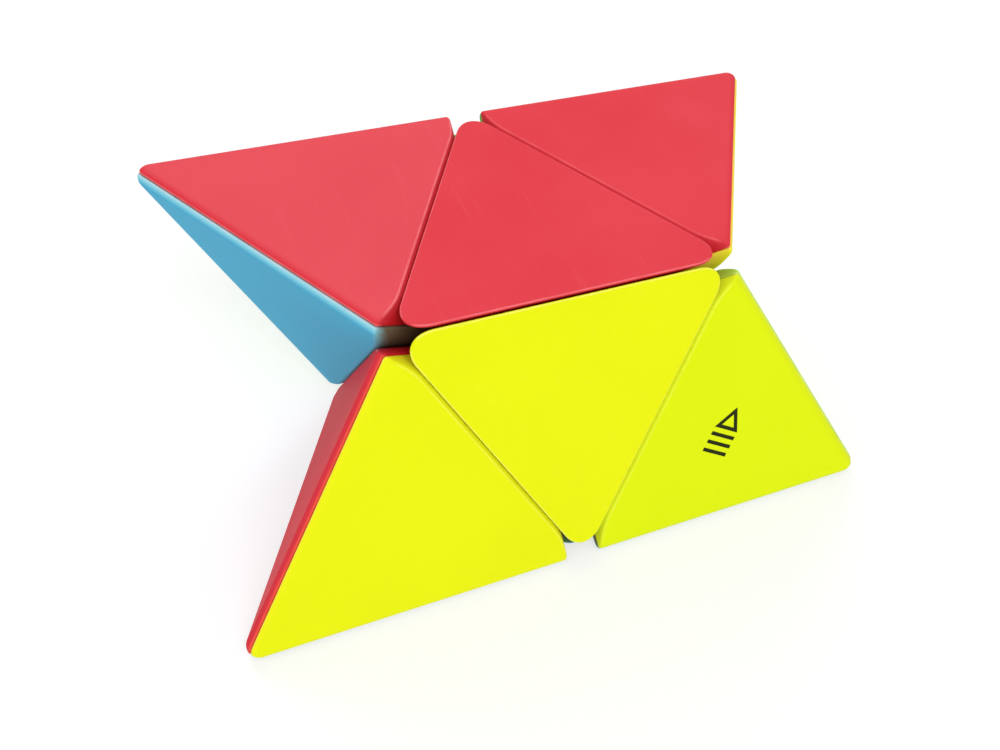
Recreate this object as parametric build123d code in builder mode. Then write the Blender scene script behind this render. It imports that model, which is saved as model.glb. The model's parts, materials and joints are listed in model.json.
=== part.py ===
"""Pyramid twisty puzzle: a tetrahedron cut into eight outer pieces by three square planes through its centre.

Four outer pieces are tips, which hold a vertex of the pyramid and show three colours, and four are face
centres, which show one. Each fills one octant between the three cutting planes and hooks, by a foot, into a
hidden ball of hubs and edges that is screwed to a core. The half nearer the rear axis stands turned by a
quarter turn, so the outline has two parallel ridges and the puzzle lies on one blue side with a red side up.

Everything is drawn in the cube frame, whose origin is the core and whose X, Y and Z are the three turning
axes, and is then laid on the table by table_plane. The table frame has +Z up, its origin in the middle of the
footprint, and X along the ridges. All lengths are in millimetres.
"""

import os
from itertools import combinations
from math import sqrt

from build123d import *

os.makedirs("parts", exist_ok=True)

# --- driving dimensions: outer pieces -------------------------------------------------------------------
ridge = 90.0  # edge of the solved pyramid, vertex to vertex before rounding
layer_gap = 0.3  # between the walls of neighbouring outer pieces
seam_gap = 0.08  # between two caps of one tip
seam_radius = 0.25  # rounding of the caps' outer edges along those seams
cap_wall = 1.8  # thickness of every coloured cap
ridge_radius = 1.6  # rounding of the pyramid's own edges and vertices
tip_corner_radius = 5.0  # rounding of each tip along the three turning axes
centre_corner_radius = 3.4  # and of each face centre
tip_rim_radius = 0.45  # rounding where a tip's coloured face meets a cut wall
centre_rim_radius = 0.25  # and where a face centre's does
fit_gap = 0.1  # between a cap and the foot inside it

# --- driving dimensions: feet of the outer pieces -------------------------------------------------------
bowl_wall = 1.5
rib_thickness = 1.4
column_radius = 4.2
boss_radius = 2.7
boss_length = 7.4  # from the inside of a cap to the column
peg_radius = 1.5
peg_length = 5.0
peg_gap = 0.05

# --- driving dimensions: hidden ball --------------------------------------------------------------------
ball_radius = 15.6  # outside of the hidden hubs and edges
ball_gap = 0.25  # between the ball and the bowls that ride on it
plate_underside = 12.45  # the hubs' and edges' plates reach from here to ball_radius
flange_top = 12.2
flange_bottom = 9.6
plate_half = 5.0  # the hidden middle layers are twice this wide at the plates
flange_half = 3.2  # and twice this wide at the flanges
hidden_gap = 0.1  # each hidden piece stands back this far from its cutting planes

# --- driving dimensions: core, screws and springs -------------------------------------------------------
core_radius = 5.6
arm_radius = 3.0
arm_end = 7.3
stem_end = 7.5  # a turning hub's stem starts here, just clear of the core's arm
pocket_radius = 2.6
turning_pocket_floor = 8.7
fixed_pocket_floor = 11.2
key_half = 2.0  # the fixed arms end in a square key
key_end = 9.4
key_gap = 0.05
shaft_radius = 1.2
shaft_end = 2.3  # distance of every screw's point from the middle of the core
shaft_gap = 0.08
thread_pitch = 0.8
thread_depth = 0.2
head_radius = 2.35
head_height = 1.2
head_chamfer = 0.3
recess_width = 0.6
recess_length = 2.8
recess_depth = 0.7
spring_screw_seat = 14.1  # underside of a spring screw's head
washer_thickness = 0.4
washer_inner = 1.4
washer_outer = 2.45
coil_radius = 1.9
wire_radius = 0.25
coil_turns = 5
seat_gap = 0.02  # between pieces that rest on each other

# --- worked out from the above --------------------------------------------------------------------------
half_cube = ridge / (2 * sqrt(2))  # half the side of the cube that holds the solved pyramid
face_distance = half_cube / sqrt(3)  # from the core to every coloured face
bowl_radius = ball_radius + ball_gap
reach = 2 * ridge  # longer than anything here, for cutting tools
CORNER = (Align.MIN,) * 3
STANDING = (Align.CENTER, Align.CENTER, Align.MIN)
SUNK = (Align.CENTER, Align.CENTER, Align.MAX)

# Spans of X, Y or Z, from low to high, that the hidden pieces fill.
beyond_plates = (plate_half + hidden_gap, reach)
beyond_flanges = (flange_half + hidden_gap, reach)
across_plate = (hidden_gap - plate_half, plate_half - hidden_gap)
across_flange = (hidden_gap - flange_half, flange_half - hidden_gap)

# A tip's coloured face over its Z wall, and a face centre's coloured face, where X, Y and Z are positive.
tip_face_plane = Plane(origin=Vector(2, 2, 1) * (half_cube / 3), x_dir=(1, -1, 0), z_dir=(1, 1, -1))
centre_face_plane = Plane(origin=Vector(1, 1, 1) * (half_cube / 3), x_dir=(1, -1, 0), z_dir=(1, 1, 1))
diagonal_plane = Plane(origin=(0, 0, 0), x_dir=(1, -1, 0), z_dir=(1, 1, 1))
# These carry what is drawn for the Z wall to the Z, X and Y walls.
WALLS = (Plane.XY, Plane.YZ, Plane.ZX)

# The table frame's X runs along the ridges, Y away from the yellow side and Z up through the red side.
table_plane = Plane(
    origin=(0, 0, face_distance),
    x_dir=(-1 / sqrt(2), -1 / sqrt(6), 1 / sqrt(3)),
    z_dir=(0, 2 / sqrt(6), 1 / sqrt(3)),
)

SIDES = {
    "left": (1, 0, 0),
    "right": (0, 1, 0),
    "rear": (0, 0, 1),
    "low_right": (-1, 0, 0),
    "low_left": (0, -1, 0),
    "front": (0, 0, -1),
}
TURNING_SIDES = ("left", "right", "rear")
TIPS = {
    "upper_left_tip": (1, -1, 1),
    "upper_right_tip": (-1, 1, 1),
    "lower_left_tip": (1, -1, -1),
    "lower_right_tip": (-1, 1, -1),
}
CENTRES = {
    "red_centre": (1, 1, 1),
    "green_centre": (-1, -1, 1),
    "yellow_centre": (1, 1, -1),
    "blue_centre": (-1, -1, -1),
}
# The colour of each coloured face, by its outward direction in the cube frame.
FACE_COLOURS = {
    (1, 1, 1): "red",
    (1, -1, 1): "red",
    (1, 1, -1): "yellow",
    (-1, 1, -1): "yellow",
    (-1, -1, 1): "green",
    (-1, 1, 1): "green",
    (-1, -1, -1): "blue",
    (1, -1, -1): "blue",
}


# --- placing --------------------------------------------------------------------------------------------
def octant_plane(signs):
    """The plane that carries the octant where X, Y and Z are positive to the octant with these signs."""
    x, y, z = signs
    along_x = (x, 0, 0) if x * y * z > 0 else (0, y, 0)
    return Plane(origin=(0, 0, 0), x_dir=along_x, z_dir=(0, 0, z))


def side_plane(side, beside):
    """The plane whose Z points to one side of the cube frame and whose X points to another."""
    return Plane(origin=(0, 0, 0), x_dir=SIDES[beside], z_dir=SIDES[side])


def are_opposite(side, other):
    return not any(one + two for one, two in zip(SIDES[side], SIDES[other]))


side_locations = {
    side: side_plane(side, "left" if side in ("rear", "front") else "rear").location for side in SIDES
}
turning_locations = [side_locations[side] for side in TURNING_SIDES]
fixed_locations = [side_locations[side] for side in SIDES if side not in TURNING_SIDES]


def write(shapes, name):
    """Lays one piece, or a group of like pieces, on the table and writes it as a node."""
    laid = [table_plane.location * shape for shape in shapes]
    piece = laid[0] if len(laid) == 1 else Compound(children=laid)
    piece.label = name
    export_step(piece, f"parts/{name}.step")


# --- outer pieces as solids -----------------------------------------------------------------------------
def pyramid(inset, edge_radius, turned):
    """The solved pyramid with its faces moved in by inset; turned stands it a quarter turn on about Z."""
    a = half_cube * (face_distance - inset) / face_distance
    vertices = [(a, a, a), (a, -a, -a), (-a, a, -a), (-a, -a, a)]
    sides = combinations(vertices, 3)
    with BuildPart() as body:
        add(Solid(Shell([Face(Wire.make_polygon(side, close=True)) for side in sides])))
        if edge_radius:
            fillet(body.edges(), radius=edge_radius)
    return body.part.rotate(Axis.Z, 90) if turned else body.part


def octant(inset, radius):
    """The octant where X, Y and Z are over inset, with its three inner edges rounded."""
    with BuildPart() as body:
        with Locations((inset, inset, inset)):
            Box(reach, reach, reach, align=CORNER)
        fillet(body.edges().sort_by_distance((inset, inset, inset))[:3], radius=radius)
    return body.part


def corner_radius(turned):
    return centre_corner_radius if turned else tip_corner_radius


def is_rim(edge, faces):
    """Does a coloured face, which looks away from the core, meet a cut wall at this edge?"""
    away = [
        face.normal_at(edge @ 0.5).dot(Vector(1, 1, 1)) > 0.01
        for face in faces
        if any(edge.is_same(other) for other in face.edges())
    ]
    return any(away) and not all(away)


def outer_solid(turned):
    """A solid tip, or with turned a solid face centre, where X, Y and Z are positive."""
    rim_radius = centre_rim_radius if turned else tip_rim_radius
    with BuildPart() as body:
        add(pyramid(0, ridge_radius, turned))
        add(octant(layer_gap / 2, corner_radius(turned)), mode=Mode.INTERSECT)
        faces = body.faces()
        fillet([edge for edge in body.edges() if is_rim(edge, faces)], radius=rim_radius)
        Sphere(bowl_radius, mode=Mode.SUBTRACT)
    return body.part


def hollow(inset, turned):
    """The room that walls of thickness inset leave inside a tip, or with turned a face centre."""
    with BuildPart() as body:
        add(pyramid(inset, 0, turned))
        add(octant(layer_gap / 2 + inset, corner_radius(turned) - inset), mode=Mode.INTERSECT)
    return body.part


def peg(face_plane, radius, top, length):
    """A round bar that stands in from a coloured face, starting top below it."""
    with BuildPart(face_plane.offset(-top)) as bar:
        Cylinder(radius, length, align=SUNK)
    return bar.part


# --- coloured caps --------------------------------------------------------------------------------------
def make_tip_cap():
    """One of a tip's three caps: the coloured face over the Z wall and that wall, mitred to the other caps."""
    with BuildPart() as cap:
        add(outer_solid(turned=False))
        add(hollow(cap_wall, turned=False), mode=Mode.SUBTRACT)
        seams = [Plane(origin=(0, 0, 0), z_dir=across) for across in ((1, 0, -1), (0, 1, -1))]
        for seam in seams:
            split(bisect_by=seam.offset(seam_gap / 2), keep=Keep.TOP)
        # The rounding runs on from each seam's longest edge, at the pyramid's ridge, all along its outside.
        seam_faces = [cap.faces().filter_by(seam)[0] for seam in seams]
        fillet([face.edges().sort_by(SortBy.LENGTH)[-1] for face in seam_faces], radius=seam_radius)
        add(peg(tip_face_plane, peg_radius, cap_wall, peg_length))
    return cap.part


def make_centre_cap():
    """A face centre's cap: the coloured face and three cut walls in one piece."""
    with BuildPart() as cap:
        add(outer_solid(turned=True))
        add(hollow(cap_wall, turned=True), mode=Mode.SUBTRACT)
        add(peg(centre_face_plane, peg_radius, cap_wall, peg_length))
    return cap.part


# --- hidden ball ----------------------------------------------------------------------------------------
def ball_layer(inner, outer, *spans):
    """The part of a spherical shell where X, Y and Z each lie in their span."""
    with BuildPart() as body:
        Sphere(outer)
        Sphere(inner, mode=Mode.SUBTRACT)
        with Locations(tuple(low for low, high in spans)):
            Box(*[high - low for low, high in spans], align=CORNER, mode=Mode.INTERSECT)
    return body.part


def make_hook():
    """A foot's stalk down into the hidden ball, and the flange that hooks under the hidden edges."""
    with BuildPart() as hook:
        add(ball_layer(flange_bottom, bowl_radius + bowl_wall, *[beyond_plates] * 3))
        add(ball_layer(flange_bottom, flange_top, *[beyond_flanges] * 3))
    return hook.part


def make_tip_foot():
    """A tip's frame: ribs under the caps' seams, a boss for each cap's peg, a bowl over the ball and a hook."""
    peg_hole = peg(tip_face_plane, peg_radius + peg_gap, cap_wall, peg_length + fit_gap)
    boss = peg(tip_face_plane, boss_radius, cap_wall, boss_length)
    with BuildPart() as foot:
        with BuildSketch(diagonal_plane):
            for turn in (0, 120, 240):
                Rectangle(rib_thickness, reach, rotation=turn)
            Circle(column_radius)
        extrude(amount=reach)
        for wall in WALLS:
            add(wall.location * boss)
        Sphere(bowl_radius + bowl_wall)
        add(hollow(cap_wall + fit_gap, turned=False), mode=Mode.INTERSECT)
        for wall in WALLS:
            add(wall.location * peg_hole, mode=Mode.SUBTRACT)
        Sphere(bowl_radius, mode=Mode.SUBTRACT)
        add(make_hook())
    return foot.part


def make_centre_foot():
    """A face centre's frame: a plate under the cap, with a socket for the cap's peg, and a hook."""
    inner_face = centre_face_plane.offset(-cap_wall - fit_gap)
    with BuildPart() as plate:
        add(hollow(cap_wall + fit_gap, turned=True))
        split(bisect_by=inner_face.offset(-bowl_wall), keep=Keep.TOP)
        Sphere(bowl_radius, mode=Mode.SUBTRACT)
    with BuildPart() as foot:
        add(make_hook())
        split(bisect_by=inner_face, keep=Keep.BOTTOM)
        add(plate)
        add(peg(centre_face_plane, peg_radius + peg_gap, cap_wall, peg_length + fit_gap), mode=Mode.SUBTRACT)
    return foot.part


def make_hidden_edge():
    """A hidden edge between the X and Z sides: its plate holds the feet, and the hubs' plates hold its flange."""
    with BuildPart() as edge:
        add(ball_layer(flange_bottom, flange_top, beyond_flanges, across_flange, beyond_flanges))
        add(ball_layer(flange_bottom, ball_radius, beyond_plates, across_flange, beyond_plates))
        add(ball_layer(plate_underside, ball_radius, beyond_plates, across_plate, beyond_plates))
    return edge.part


def make_hub(pocket_floor, keyed):
    """A hub on the Z side: a plate, a stem with a screw's pocket and, with keyed, a socket for the core's key."""
    with BuildPart() as hub:
        add(ball_layer(plate_underside, ball_radius, across_plate, across_plate, (0, reach)))
        add(ball_layer(core_radius, ball_radius, across_flange, across_flange, (stem_end, reach)))
        Cylinder(shaft_radius + shaft_gap, reach, align=STANDING, mode=Mode.SUBTRACT)
        with Locations((0, 0, pocket_floor)):
            Cylinder(pocket_radius, reach, align=STANDING, mode=Mode.SUBTRACT)
        if keyed:
            socket = 2 * (key_half + key_gap)
            with Locations((0, 0, key_end + key_gap)):
                Box(socket, socket, key_end, align=SUNK, mode=Mode.SUBTRACT)
    return hub.part


def make_core():
    """The core: a ball with six screw arms, of which the three on the fixed sides end in square keys."""
    with BuildPart() as core:
        Sphere(core_radius)
        with Locations(*side_locations.values()):
            Cylinder(arm_radius, arm_end, align=STANDING)
        with Locations(*fixed_locations):
            Box(2 * key_half, 2 * key_half, key_end, align=STANDING)
        with Locations(*[location * Pos(0, 0, shaft_end - shaft_gap) for location in side_locations.values()]):
            Cylinder(shaft_radius + shaft_gap, reach, align=STANDING, mode=Mode.SUBTRACT)
    return core.part


# --- screws, springs and washers ------------------------------------------------------------------------
def make_screw(seat):
    """A screw along Z from its point to its cross-slotted head, whose underside is at seat."""
    turns = int((arm_end - shaft_end) / thread_pitch)
    threads = [
        (shaft_radius - thread_depth * (half % 2 == 0), shaft_end + thread_pitch * (half + 1) / 2)
        for half in range(2 * turns)
    ]
    outline = [(0, shaft_end), *threads, (shaft_radius, seat), (head_radius, seat)]
    outline += [(head_radius, seat + head_height), (0, seat + head_height)]
    with BuildPart() as screw:
        with BuildSketch(Plane.XZ):
            with BuildLine():
                Polyline(*outline, close=True)
            make_face()
        revolve(axis=Axis.Z)
        chamfer(screw.edges().group_by(Axis.Z)[-1], length=head_chamfer)
        with Locations((0, 0, seat + head_height)):
            Box(recess_length, recess_width, recess_depth, align=SUNK, mode=Mode.SUBTRACT)
            Box(recess_width, recess_length, recess_depth, align=SUNK, mode=Mode.SUBTRACT)
    return screw.part


def make_washer():
    """The washer between a turning hub's pocket floor and its spring."""
    with BuildPart() as washer:
        with Locations((0, 0, turning_pocket_floor + seat_gap)):
            Cylinder(washer_outer, washer_thickness, align=STANDING)
            Cylinder(washer_inner, washer_thickness, align=STANDING, mode=Mode.SUBTRACT)
    return washer.part


def make_spring():
    """The coil spring between the washer and the head of a spring screw."""
    bottom = turning_pocket_floor + washer_thickness + 2 * seat_gap + wire_radius
    height = spring_screw_seat - wire_radius - bottom
    with BuildPart() as spring:
        with BuildLine() as coil:
            Helix(pitch=height / coil_turns, height=height, radius=coil_radius, center=(0, 0, bottom))
        with BuildSketch(Plane(origin=coil.line @ 0, z_dir=coil.line % 0)):
            Circle(wire_radius)
        sweep(is_frenet=True)
    return spring.part


# --- build and write ------------------------------------------------------------------------------------
tip_cap = make_tip_cap()
tip_foot = make_tip_foot()
for tip, signs in TIPS.items():
    octant_location = octant_plane(signs).location
    for wall in WALLS:
        cap_location = octant_location * wall.location
        outward = Plane(cap_location).from_local_coords(Vector(1, 1, -1))
        colour = FACE_COLOURS[tuple(round(value) for value in outward)]
        write([cap_location * tip_cap], f"{tip}_{colour}_cap")
    write([octant_location * tip_foot], f"{tip}_foot")

centre_cap = make_centre_cap()
centre_foot = make_centre_foot()
for centre, signs in CENTRES.items():
    octant_location = octant_plane(signs).location
    write([octant_location * centre_cap], f"{centre}_cap")
    write([octant_location * centre_foot], f"{centre}_foot")

turning_hub = make_hub(turning_pocket_floor, keyed=False)
fixed_hub = make_hub(fixed_pocket_floor, keyed=True)
for side, location in side_locations.items():
    hub = turning_hub if side in TURNING_SIDES else fixed_hub
    write([location * hub], f"{side}_hub")

hidden_edge = make_hidden_edge()
for side, other in combinations(SIDES, 2):
    if not are_opposite(side, other):
        write([side_plane(side, other).location * hidden_edge], f"hidden_edge_{side}_{other}")

write([make_core()], "core")
spring_screw = make_screw(spring_screw_seat)
fixed_screw = make_screw(fixed_pocket_floor + seat_gap)
washer = make_washer()
spring = make_spring()
write([location * spring_screw for location in turning_locations], "spring_screws")
write([location * fixed_screw for location in fixed_locations], "fixed_hub_screws")
write([location * washer for location in turning_locations], "spring_washers")
write([location * spring for location in turning_locations], "tension_springs")
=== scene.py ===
"""Looks for the pyramid twisty puzzle: caps, inner pieces, a printed mark, floor, lights and camera."""
import json
import math

import bmesh
import bpy
from mathutils import Matrix, Vector

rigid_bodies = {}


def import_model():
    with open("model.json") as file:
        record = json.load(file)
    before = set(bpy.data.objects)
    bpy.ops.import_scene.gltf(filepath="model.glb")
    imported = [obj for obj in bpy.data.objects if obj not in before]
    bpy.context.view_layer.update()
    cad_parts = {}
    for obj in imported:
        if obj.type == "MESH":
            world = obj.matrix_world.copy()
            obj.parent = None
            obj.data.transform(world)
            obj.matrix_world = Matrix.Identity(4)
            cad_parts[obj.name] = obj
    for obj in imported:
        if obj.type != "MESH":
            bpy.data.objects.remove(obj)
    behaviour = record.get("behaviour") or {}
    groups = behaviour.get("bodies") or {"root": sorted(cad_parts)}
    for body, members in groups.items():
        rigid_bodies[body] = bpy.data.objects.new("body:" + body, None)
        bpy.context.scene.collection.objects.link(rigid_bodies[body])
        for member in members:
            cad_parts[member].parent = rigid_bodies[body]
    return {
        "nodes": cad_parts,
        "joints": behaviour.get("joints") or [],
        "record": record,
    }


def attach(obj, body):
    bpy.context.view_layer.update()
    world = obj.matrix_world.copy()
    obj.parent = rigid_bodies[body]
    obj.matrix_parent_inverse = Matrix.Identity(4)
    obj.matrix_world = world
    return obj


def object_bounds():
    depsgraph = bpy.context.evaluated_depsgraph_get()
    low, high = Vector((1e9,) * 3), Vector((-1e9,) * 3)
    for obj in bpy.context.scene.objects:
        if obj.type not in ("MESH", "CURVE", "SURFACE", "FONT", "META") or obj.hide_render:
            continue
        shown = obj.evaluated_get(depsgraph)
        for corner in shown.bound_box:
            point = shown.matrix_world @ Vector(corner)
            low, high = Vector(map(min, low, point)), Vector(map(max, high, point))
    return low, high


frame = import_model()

cad_low, cad_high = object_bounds()
centre = (cad_low + cad_high) / 2
mm = 0.001

# The puzzle turns about three square axes through its core.
leaders = [joint for joint in frame["joints"] if joint["parent"] == "core_and_blue_centre"]
core = Vector(leaders[0]["pos_m"])
turning_axes = [Vector(joint["axis"]).normalized() for joint in leaders]


def outer_face(cap):
    """The direction that a cap's outer face looks in, and how far along it the face lies from the origin."""
    largest = max(cap.data.polygons, key=lambda polygon: polygon.area)
    outward = largest.normal.copy()
    if outward.dot(largest.center - core) < 0:
        outward.negate()
    return outward, max(outward.dot(vertex.co) for vertex in cap.data.vertices)


# --- node helpers ---------------------------------------------------------------------------------------
class Material:
    """A node material around one Principled shader, with short ways to add and link nodes."""

    def __init__(self, name):
        self.material = bpy.data.materials.new(name)
        self.material.use_nodes = True
        self.tree = self.material.node_tree
        self.shader = self.tree.nodes["Principled BSDF"]
        self.place = self.add("ShaderNodeTexCoord").outputs["Object"]

    def add(self, kind, **values):
        node = self.tree.nodes.new(kind)
        for name, value in values.items():
            setattr(node, name, value)
        return node

    def link(self, output, target):
        self.tree.links.new(output, target)

    def set(self, **values):
        """Sets the shader's own sockets, such as Specular_IOR_Level=0.02."""
        for name, value in values.items():
            self.shader.inputs[name.replace("_", " ")].default_value = value

    def noise(self, scale, detail=2.0, roughness=0.5, stretch=(1, 1, 1), turn=(0, 0, 0)):
        """Noise with this many features per metre, between 0 and 1."""
        mapping = self.add("ShaderNodeMapping")
        mapping.inputs["Rotation"].default_value = turn
        mapping.inputs["Scale"].default_value = stretch
        self.link(self.place, mapping.inputs["Vector"])
        noise = self.add("ShaderNodeTexNoise")
        noise.inputs["Scale"].default_value = scale
        noise.inputs["Detail"].default_value = detail
        noise.inputs["Roughness"].default_value = roughness
        self.link(mapping.outputs["Vector"], noise.inputs["Vector"])
        return noise.outputs["Fac"]

    def remap(self, value, low, high, to_low, to_high):
        """Takes value from the span low..high to the span to_low..to_high."""
        node = self.add("ShaderNodeMapRange")
        spans = {"From Min": low, "From Max": high, "To Min": to_low, "To Max": to_high}
        for name, number in spans.items():
            node.inputs[name].default_value = number
        self.link(value, node.inputs["Value"])
        return node.outputs["Result"]

    def rises(self, value, span, most=1):
        """0 where value is below the span, and most where it is above it."""
        return self.remap(value, *span, 0, most)

    def falls(self, value, span):
        """1 where value is below the span, and 0 where it is above it."""
        return self.remap(value, *span, 1, 0)

    def math(self, operation, *values):
        """Math on node outputs, plain numbers or both."""
        node = self.add("ShaderNodeMath", operation=operation)
        for value, target in zip(values, node.inputs):
            if isinstance(value, bpy.types.NodeSocket):
                self.link(value, target)
            else:
                target.default_value = value
        return node.outputs["Value"]

    def product(self, first, *others):
        """All the masks multiplied together."""
        for other in others:
            first = self.math("MULTIPLY", first, other)
        return first

    def along(self, vector, direction):
        """How far a node's vector reaches in a fixed direction."""
        dot = self.add("ShaderNodeVectorMath", operation="DOT_PRODUCT")
        self.link(vector, dot.inputs[0])
        dot.inputs[1].default_value = direction
        return dot.outputs["Value"]

    def from_cuts(self):
        """The least and the next distance from the three planes that cut the puzzle, in metres."""
        from_core = self.add("ShaderNodeVectorMath", operation="SUBTRACT")
        self.link(self.place, from_core.inputs[0])
        from_core.inputs[1].default_value = core
        spans = [self.along(from_core.outputs["Vector"], axis) for axis in turning_axes]
        one, two, three = [self.math("ABSOLUTE", span) for span in spans]
        lesser = self.math("MINIMUM", one, two)
        greater = self.math("MAXIMUM", one, two)
        least = self.math("MINIMUM", lesser, three)
        middle = self.math("MAXIMUM", lesser, self.math("MINIMUM", greater, three))
        return least, middle

    def mix(self, factor, one, two):
        """The colour one where factor is 0, and two where it is 1; each is a colour or a node's output."""
        node = self.add("ShaderNodeMix", data_type="RGBA")
        first, second, mixed = node.inputs[6], node.inputs[7], node.outputs[2]  # the node's colour sockets
        self.link(factor, node.inputs["Factor"])
        for colour, target in ((one, first), (two, second)):
            if isinstance(colour, bpy.types.NodeSocket):
                self.link(colour, target)
            else:
                target.default_value = (*colour, 1)
        return mixed

    def bump(self, height, depth):
        """Raises the surface by up to depth metres where height is 1."""
        node = self.add("ShaderNodeBump")
        node.inputs["Distance"].default_value = depth
        self.link(height, node.inputs["Height"])
        self.link(node.outputs["Normal"], self.shader.inputs["Normal"])


# --- materials ------------------------------------------------------------------------------------------
# Where a cap's painted light and shade lie: spans of depth below its outer face, and of distance from the
# cuts. A painted shade or highlight fades in or out across its span.
ridge_starts = (0.03 * mm, 0.35 * mm)
rim_starts = (0.005 * mm, 0.03 * mm)
rim_ends = (0.1 * mm, 0.22 * mm)
rim_reach = (0.7 * mm, 1.0 * mm)
seam_width = (0.25 * mm, 0.5 * mm)
seam_depth = (0.9 * mm, 1.1 * mm)
cut_reach = (1.0 * mm, 1.5 * mm)
wall_shade_starts_by_cut = (0.3 * mm, 1.2 * mm)
wall_shade_starts_inside = (0.6 * mm, 1.6 * mm)


def coloured_plastic(name, cap, is_tip, own, clouded, painted_ridge_shading, rubbing_and_sheen, painted_seam_shading, painted_wall_shade):
    """Satin moulded plastic, coloured right through, with faint clouding and fine handling scuffs.

    It has painted light and shade along its rounded ridges, a pale painted highlight along its rims and
    seams, and painted shade with the reflected colour of neighbouring caps on its cut walls. The masks for
    these come from the distances to the cuts and to the cap's own outer face.
    """
    plastic = Material(name)
    clouds = plastic.noise(70, detail=3)
    cloud_span = (0.3, 0.7)
    scuffs = plastic.noise(900, detail=4, roughness=0.6, stretch=(1, 0.08, 1), turn=(0.4, 0.2, 0.7))
    scuff_span = (0.6, 0.8)
    # Patchy strength of the painted highlight at the rims and seams.
    painted_sheen_strength = plastic.remap(plastic.noise(350), 0.35, 0.65, 0.4, 0.7)

    outward, face = outer_face(cap)
    depth = plastic.math("SUBTRACT", face, plastic.along(plastic.place, outward))
    least, middle = plastic.from_cuts()

    base = plastic.mix(plastic.rises(clouds, cloud_span), clouded, own)
    # The handling scuffs take a little of the same pale colour that paints the highlight on the rims.
    base = plastic.mix(plastic.rises(scuffs, scuff_span, most=0.08), base, rubbing_and_sheen)
    # Painted light and shade along the rounded ridges, paler on some colours and deeper on others.
    base = plastic.mix(plastic.rises(depth, ridge_starts), base, painted_ridge_shading)
    # A painted highlight along the rims of the cut sides.
    on_rim = plastic.product(
        plastic.rises(depth, rim_starts), plastic.falls(depth, rim_ends), plastic.falls(least, rim_reach)
    )
    base = plastic.mix(plastic.product(on_rim, painted_sheen_strength), base, rubbing_and_sheen)
    # A painted highlight along the seams between a tip's caps.
    if is_tip:
        aside = plastic.math("SUBTRACT", middle, least)
        on_seam = plastic.product(plastic.falls(aside, seam_width), plastic.falls(depth, seam_depth))
        base = plastic.mix(plastic.product(on_seam, painted_sheen_strength), base, painted_seam_shading)
    # Painted shade, with the reflected colour of neighbouring caps, on the cut walls and deeper inside.
    by_cut = plastic.product(
        plastic.falls(least, cut_reach), plastic.rises(depth, wall_shade_starts_by_cut, most=0.75)
    )
    on_wall = plastic.math("MAXIMUM", by_cut, plastic.rises(depth, wall_shade_starts_inside, most=0.9))
    base = plastic.mix(on_wall, base, painted_wall_shade)
    plastic.link(base, plastic.shader.inputs["Base Color"])

    satin = plastic.remap(clouds, *cloud_span, 0.42, 0.48)
    dulled = plastic.rises(scuffs, scuff_span, most=0.1)
    plastic.link(plastic.math("ADD", satin, dulled), plastic.shader.inputs["Roughness"])
    plastic.bump(plastic.noise(3200, detail=2), 0.012 * mm)
    plastic.set(IOR=1.45, Specular_IOR_Level=0.02)
    return plastic.material


def inner_plastic(name, colour, scuffed):
    """Moulded plastic for the inner pieces, dull and a little scuffed where the pieces slide."""
    plastic = Material(name)
    rubbing_and_sheen = plastic.noise(500, detail=4, roughness=0.65, stretch=(1, 0.3, 1), turn=(0.3, 0.5, 0.2))
    base = plastic.mix(plastic.remap(rubbing_and_sheen, 0.55, 0.75, 0, 1), colour, scuffed)
    plastic.link(base, plastic.shader.inputs["Base Color"])
    plastic.link(plastic.remap(rubbing_and_sheen, 0.3, 0.7, 0.5, 0.38), plastic.shader.inputs["Roughness"])
    plastic.bump(plastic.noise(2600, detail=3), 0.02 * mm)
    plastic.set(IOR=1.5)
    return plastic.material


def bright_steel(name, colour, dull, grain):
    """Plated or drawn steel, with this many fine lines per metre along its grain, and duller patches."""
    steel = Material(name)
    lines = steel.noise(grain, detail=3, stretch=(1, 1, 0.05))
    patches = steel.noise(260, detail=2)
    base = steel.mix(steel.remap(patches, 0.35, 0.7, 0, 1), colour, dull)
    steel.link(base, steel.shader.inputs["Base Color"])
    steel.link(steel.remap(lines, 0.3, 0.7, 0.2, 0.36), steel.shader.inputs["Roughness"])
    steel.bump(lines, 0.008 * mm)
    steel.set(Metallic=1.0)
    return steel.material


def printing_ink(name, colour, worn):
    """A thin printed ink, a little worn through in fine specks."""
    ink = Material(name)
    specks = ink.noise(5200, detail=3, roughness=0.7)
    base = ink.mix(ink.remap(specks, 0.62, 0.74, 0, 1), colour, worn)
    ink.link(base, ink.shader.inputs["Base Color"])
    ink.link(ink.remap(specks, 0.3, 0.7, 0.5, 0.62), ink.shader.inputs["Roughness"])
    ink.bump(specks, 0.004 * mm)
    ink.set(IOR=1.45, Specular_IOR_Level=0.08)
    return ink.material


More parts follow.
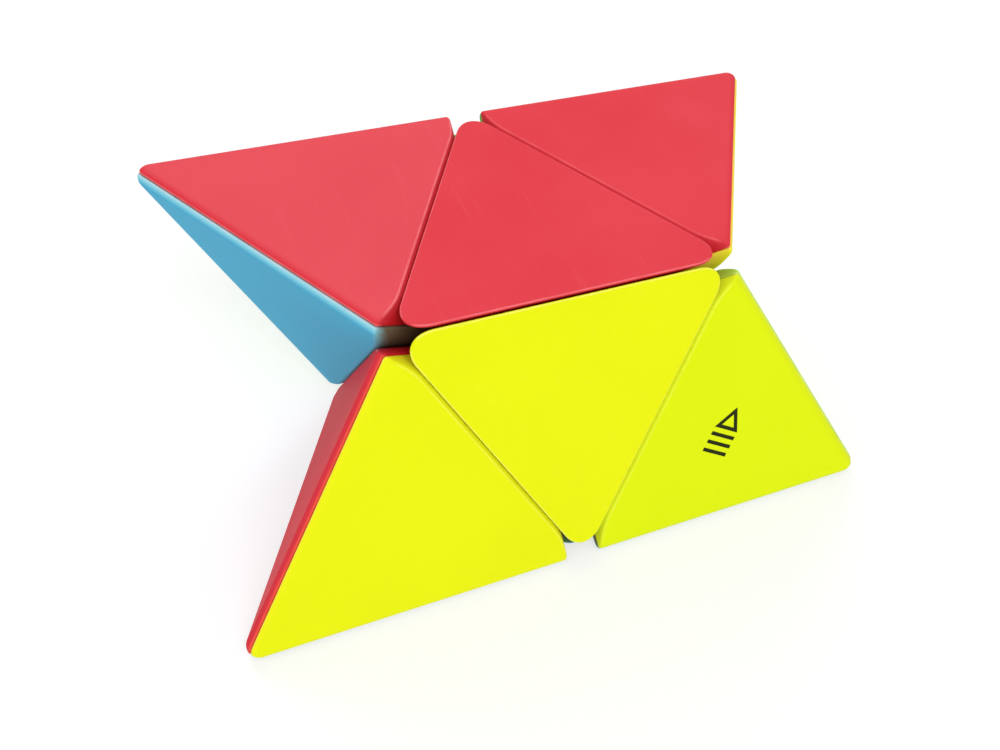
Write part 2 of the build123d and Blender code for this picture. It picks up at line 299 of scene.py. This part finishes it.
# Each colour's own shade, then its shades in the clouding, its painted light and shade on the ridges, its
# pale colour for the handling scuffs and the painted highlight at the rims, its painted highlight at the
# seams between a tip's caps, and its painted shade with reflected colour on its cut walls.
red = {
    "own": (0.775, 0.063, 0.082),
    "clouded": (0.745, 0.052, 0.069),
    "painted_ridge_shading": (0.72, 0.040, 0.058),
    "rubbing_and_sheen": (0.98, 0.24, 0.26),
    "painted_seam_shading": (0.98, 0.28, 0.26),
    "painted_wall_shade": (0.66, 0.016, 0.022),
}
yellow = {
    "own": (0.83, 0.885, 0.009),
    "clouded": (0.80, 0.86, 0.008),
    "painted_ridge_shading": (0.88, 0.90, 0.012),
    "rubbing_and_sheen": (0.98, 0.96, 0.20),
    "painted_seam_shading": (0.98, 0.96, 0.20),
    "painted_wall_shade": (0.80, 0.77, 0.02),
}
green = {
    "own": (0.045, 0.50, 0.075),
    "clouded": (0.035, 0.45, 0.06),
    "painted_ridge_shading": (0.10, 0.56, 0.09),
    "rubbing_and_sheen": (0.26, 0.64, 0.20),
    "painted_seam_shading": (0.26, 0.64, 0.20),
    "painted_wall_shade": (0.30, 0.42, 0.04),
}
blue = {
    "own": (0.074, 0.440, 0.672),
    "clouded": (0.068, 0.415, 0.640),
    "painted_ridge_shading": (0.25, 0.66, 0.79),
    "rubbing_and_sheen": (0.22, 0.60, 0.78),
    "painted_seam_shading": (0.66, 0.72, 0.78),
    "painted_wall_shade": (0.20, 0.115, 0.035),
}
colours = {"red_plastic": red, "yellow_plastic": yellow, "green_plastic": green, "blue_plastic": blue}

# Some caps differ a little from the rest of their colour. The upper left tip's red cap is painted paler, as
# lit, and the lower left tip's red cap darker and deeper, as shaded. The blue ones on the underside have
# their ridges, rims and seams painted dark, as shade.
painted_paler = {"own": (0.79, 0.085, 0.106), "clouded": (0.76, 0.076, 0.096)}
# A fainter painted highlight at the rims.
fainter_sheen = {"rubbing_and_sheen": (0.86, 0.13, 0.14)}
painted_darker = {"own": (0.73, 0.028, 0.044), "clouded": (0.69, 0.024, 0.039), "painted_seam_shading": (0.92, 0.14, 0.07)}
# Painted reflected red beside red caps: an orange highlight at the seams, and warmer painted ridges and
# walls.
by_red = {"painted_seam_shading": (1.0, 0.70, 0.16)}
painted_red_reflection = {"painted_ridge_shading": (0.95, 0.84, 0.02), "painted_wall_shade": (1.0, 0.82, 0.08)}
lime = {"own": (0.75, 0.88, 0.008), "clouded": (0.73, 0.86, 0.007), "painted_ridge_shading": (0.77, 0.87, 0.02)}
# A limier painted highlight at the rims, and limier painted wall shade.
lime_walls = {"rubbing_and_sheen": (0.84, 0.92, 0.07), "painted_wall_shade": (0.70, 0.82, 0.02)}
# The green cap beside the lime yellow has a limier painted seam highlight, painted ridge shading and wall
# shade.
by_lime = {"painted_seam_shading": (0.80, 0.90, 0.25), "painted_ridge_shading": (0.45, 0.70, 0.08), "painted_wall_shade": (0.42, 0.58, 0.06)}
# The underside's ridges, rims and seams are painted dark, as shade.
painted_underside_shade = {"painted_ridge_shading": (0.07, 0.21, 0.10), "rubbing_and_sheen": (0.09, 0.26, 0.15), "painted_seam_shading": (0.30, 0.45, 0.30)}
own_shades = {
    "upper_left_tip_red_cap": {**red, **painted_paler},
    "upper_right_tip_red_cap": {**red, **fainter_sheen},
    "lower_left_tip_red_cap": {**red, **painted_darker},
    # This cap has a fainter painted highlight at its rims.
    "lower_left_tip_yellow_cap": {**yellow, **by_red, "rubbing_and_sheen": (0.94, 0.94, 0.08)},
    "upper_right_tip_yellow_cap": {**yellow, **by_red, **painted_red_reflection},
    "lower_right_tip_yellow_cap": {**yellow, **lime, **lime_walls},
    "lower_right_tip_green_cap": {**green, **by_lime},
    "blue_centre_cap": {**blue, **painted_underside_shade},
    "lower_left_tip_blue_cap": {**blue, **painted_underside_shade},
    "lower_right_tip_blue_cap": {**blue, **painted_underside_shade},
}

inner_looks = {
    "black_plastic": inner_plastic("black plastic", (0.012, 0.012, 0.013), (0.035, 0.034, 0.034)),
    "core_plastic": inner_plastic("core plastic", (0.62, 0.61, 0.58), (0.7, 0.69, 0.66)),
    "screw_steel": bright_steel("screw steel", (0.42, 0.42, 0.43), (0.28, 0.28, 0.29), grain=1800),
    "spring_steel": bright_steel("spring steel", (0.42, 0.42, 0.44), (0.28, 0.28, 0.30), grain=2600),
}
slots = {part["node"]: part["material_slot"] for part in frame["record"]["subparts"]}
for node, piece in frame["nodes"].items():
    slot = slots[node]
    piece.data.materials.clear()
    if slot in colours:
        shades = own_shades.get(node, colours[slot])
        look = coloured_plastic(node, piece, is_tip="_tip_" in node, **shades)
        piece.data.materials.append(look)
    else:
        piece.data.materials.append(inner_looks[slot])


# --- printed mark ---------------------------------------------------------------------------------------
# A plain outlined triangle over three bars, printed near the middle of the lower right tip's yellow face.
# Its own lengths are in millimetres, with X across the mark and Y up it.
stroke = 0.52
triangle_side = 3.9
triangle_height = triangle_side * math.sqrt(3) / 2
bar_tops = (-0.7, -1.95, -3.2)
ink_bottom = -0.02  # the ink reaches this far into the plastic, so that no light passes under it
ink_top = 0.03
mark_across = 0.475  # the mark's place, as parts of the face's width and height from its lower left
mark_up = 0.362
mark_turn = -30  # degrees


def mark_strokes():
    """The mark's strokes, each as its corners in turn."""
    half = triangle_side / 2
    middle = Vector((0, triangle_height / 3))
    outer = [Vector((-half, 0)), Vector((half, 0)), Vector((0, triangle_height))]
    inner = [middle + (corner - middle) * (1 - stroke / middle.y) for corner in outer]
    sides = [(outer[i], outer[(i + 1) % 3], inner[(i + 1) % 3], inner[i]) for i in range(3)]
    bars = [((-half, top - stroke), (half, top - stroke), (half, top), (-half, top)) for top in bar_tops]
    return sides + bars


def make_mark():
    """Prints the mark with its bars square to the yellow face's left side."""
    cap = frame["nodes"]["lower_right_tip_yellow_cap"]
    points = [vertex.co for vertex in cap.data.vertices]
    outward, face = outer_face(cap)
    across = Vector((1, 0, 0))
    up = outward.cross(across).normalized()
    spans = []
    for direction in (across, up):
        places = [direction.dot(point) for point in points if outward.dot(point) > face - 0.01 * mm]
        spans.append((min(places), max(places)))
    (left, right), (bottom, top) = spans
    middle = outward * face
    middle += across * (left + mark_across * (right - left))
    middle += up * (bottom + mark_up * (top - bottom))
    turned = Matrix((across, up, outward)).transposed().to_4x4()
    turned = turned @ Matrix.Rotation(math.radians(mark_turn), 4, "Z")
    mesh = bmesh.new()
    for corners in mark_strokes():
        rings = [
            [mesh.verts.new(Vector((corner[0], corner[1], height)) * mm) for corner in corners]
            for height in (ink_bottom, ink_top)
        ]
        mesh.faces.new(reversed(rings[0]))
        mesh.faces.new(rings[1])
        for i in range(4):
            j = (i + 1) % 4
            mesh.faces.new((rings[0][i], rings[0][j], rings[1][j], rings[1][i]))
    mesh.transform(Matrix.Translation(middle) @ turned)
    data = bpy.data.meshes.new("printed_mark")
    mesh.to_mesh(data)
    mesh.free()
    mark = bpy.data.objects.new("printed_mark", data)
    bpy.context.scene.collection.objects.link(mark)
    data.materials.append(printing_ink("printing ink", (0.018, 0.024, 0.005), (0.10, 0.12, 0.015)))
    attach(mark, "lower_right_tip")


make_mark()


# --- floor, lights and camera ---------------------------------------------------------------------------
floor_size = 40
light_distance = 0.8
room_heights = (0.08, 0.4)  # the room's brightness changes between these heights; straight up is 1


def make_floor():
    """A wide white card under the puzzle, bright enough by itself to keep its shadow faint."""
    bpy.ops.mesh.primitive_plane_add(size=floor_size, location=(0, 0, cad_low.z))
    floor = bpy.context.object
    floor.name = "floor"
    paper = Material("white card")
    fibres = paper.noise(900, detail=3)
    base = paper.mix(fibres, (0.42, 0.42, 0.42), (0.46, 0.46, 0.46))
    paper.link(base, paper.shader.inputs["Base Color"])
    paper.set(Roughness=0.9, Emission_Color=(1, 1, 1, 1), Emission_Strength=0.58)
    floor.data.materials.append(paper.material)


def make_light(name, size, power, azimuth, elevation):
    """A square soft box that looks at the puzzle; azimuth 0 is in front of it, along -Y."""
    light = bpy.data.lights.new(name, "AREA")
    light.size = size
    light.energy = power
    lamp = bpy.data.objects.new(name, light)
    turn, tilt = math.radians(azimuth), math.radians(elevation)
    away = Vector((math.sin(turn) * math.cos(tilt), -math.cos(turn) * math.cos(tilt), math.sin(tilt)))
    lamp.location = centre + away * light_distance
    lamp.rotation_euler = away.to_track_quat("Z", "Y").to_euler()
    lamp.visible_camera = False
    bpy.context.scene.collection.objects.link(lamp)


def make_world(at_horizon, overhead):
    """A white room, with one brightness along the horizon and another overhead."""
    world = bpy.data.worlds.new("studio")
    world.use_nodes = True
    nodes, links = world.node_tree.nodes, world.node_tree.links
    direction = nodes.new("ShaderNodeTexCoord")
    parts = nodes.new("ShaderNodeSeparateXYZ")
    brightness = nodes.new("ShaderNodeMapRange")
    lowest, highest = room_heights
    spans = {"From Min": lowest, "From Max": highest, "To Min": at_horizon, "To Max": overhead}
    for name, number in spans.items():
        brightness.inputs[name].default_value = number
    links.new(direction.outputs["Generated"], parts.inputs["Vector"])
    links.new(parts.outputs["Z"], brightness.inputs["Value"])
    links.new(brightness.outputs["Result"], nodes["Background"].inputs["Strength"])
    nodes["Background"].inputs["Color"].default_value = (1, 1, 1, 1)
    bpy.context.scene.world = world


def make_camera(place, azimuth, elevation, roll, lens, shift):
    """A camera at place that looks down by elevation, towards azimuth, turned by roll about its view."""
    data = bpy.data.cameras.new("camera")
    data.lens = lens
    data.shift_x, data.shift_y = shift
    data.clip_start = 0.01
    camera = bpy.data.objects.new("camera", data)
    turned = Matrix.Rotation(math.radians(azimuth), 4, "Z")
    tilted = Matrix.Rotation(math.radians(90 - elevation), 4, "X")
    rolled = Matrix.Rotation(math.radians(roll), 4, "Z")
    camera.matrix_world = Matrix.Translation(place) @ turned @ tilted @ rolled
    bpy.context.scene.collection.objects.link(camera)
    bpy.context.scene.camera = camera


make_floor()
make_world(at_horizon=0.85, overhead=0.38)
make_light("key", size=0.5, power=3.05, azimuth=-5, elevation=52)
make_light("left", size=0.3, power=0.5, azimuth=-80, elevation=62)
make_light("back_right", size=0.2, power=0.8, azimuth=140, elevation=14)
make_light("back_left", size=0.4, power=2.0, azimuth=185, elevation=45)
make_camera(
    place=Vector((-0.0485, -0.1018, 0.1328)),
    azimuth=-31.46,
    elevation=42.23,
    roll=9.64,
    lens=43.01,
    shift=(-0.12, -0.10),
)
bpy.context.scene.view_settings.view_transform = "Standard"
